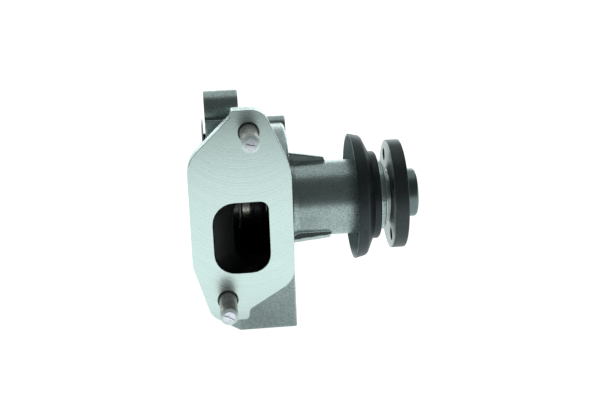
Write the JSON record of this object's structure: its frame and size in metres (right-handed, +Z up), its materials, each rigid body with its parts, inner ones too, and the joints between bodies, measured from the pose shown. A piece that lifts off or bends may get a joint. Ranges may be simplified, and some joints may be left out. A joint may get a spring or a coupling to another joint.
{
  "type": "engine water pump",
  "caption": "Belt-driven engine coolant pump: cast housing with a D-shaped side inlet on a studded pad, long bearing nose, stepped cover ring, drilled hub flange and stamped impeller.",
  "frame": {"origin": "centre of the shaft's front end, flush with the hub's pilot boss, on the shaft's axis", "axes": "+X along the shaft out of the hub, away from the engine; -Y out of the inlet pad; +Z up"},
  "size_m": [0.1329, 0.1523, 0.1379],
  "materials": {
    "cast_aluminium": "as-cast satin, machined faces brighter",
    "stud_steel": "phosphated brown",
    "ring_black": "satin black",
    "hub_black": "satin black with machined faces",
    "shaft_steel": "ground",
    "race_steel": "ground",
    "ball_steel": "polished",
    "cage_polymer": "moulded",
    "seal_rubber": "moulded",
    "slinger_steel": "pressed",
    "case_steel": "drawn",
    "spring_steel": "drawn wire",
    "carbon": "lapped",
    "ceramic": "lapped dark ceramic",
    "impeller_steel": "stamped",
    "bush_steel": "turned"
  },
  "bodies": {
    "housing": {"pump_housing": "cast_aluminium", "upper_stud": "stud_steel", "lower_stud": "stud_steel", "cover_ring": "ring_black", "bearing_outer_ring": "race_steel", "front_bearing_seal": "seal_rubber", "rear_bearing_seal": "seal_rubber", "seal_case": "case_steel", "seal_bellows": "seal_rubber", "seal_spring": "spring_steel", "carbon_ring": "carbon"},
    "rotor": {"bearing_shaft": "shaft_steel", "hub_flange": "hub_black", "water_slinger": "slinger_steel", "mating_ring": "ceramic", "mating_cup": "case_steel", "impeller": "impeller_steel", "impeller_bush": "bush_steel"},
    "front_ball_set": {"front_cage": "cage_polymer", "front_ball_1": "ball_steel", "front_ball_2": "ball_steel", "front_ball_3": "ball_steel", "front_ball_4": "ball_steel", "front_ball_5": "ball_steel", "front_ball_6": "ball_steel", "front_ball_7": "ball_steel", "front_ball_8": "ball_steel"},
    "rear_ball_set": {"rear_cage": "cage_polymer", "rear_ball_1": "ball_steel", "rear_ball_2": "ball_steel", "rear_ball_3": "ball_steel", "rear_ball_4": "ball_steel", "rear_ball_5": "ball_steel", "rear_ball_6": "ball_steel", "rear_ball_7": "ball_steel", "rear_ball_8": "ball_steel"}
  },
  "joints": [
    {"name": "shaft_spin", "type": "hinge", "parent": "housing", "child": "rotor", "pos_m": [0, 0, 0], "axis": [1, 0, 0], "continuous": true},
    {"name": "front_cage_spin", "type": "hinge", "parent": "housing", "child": "front_ball_set", "pos_m": [-0.0315, 0, 0], "axis": [1, 0, 0], "continuous": true},
    {"name": "rear_cage_spin", "type": "hinge", "parent": "housing", "child": "rear_ball_set", "pos_m": [-0.054, 0, 0], "axis": [1, 0, 0], "continuous": true}
  ],
  "couplings": [
    {"joint": "front_cage_spin", "follows": "shaft_spin", "ratio": 0.3708},
    {"joint": "rear_cage_spin", "follows": "shaft_spin", "ratio": 0.3708}
  ]
}
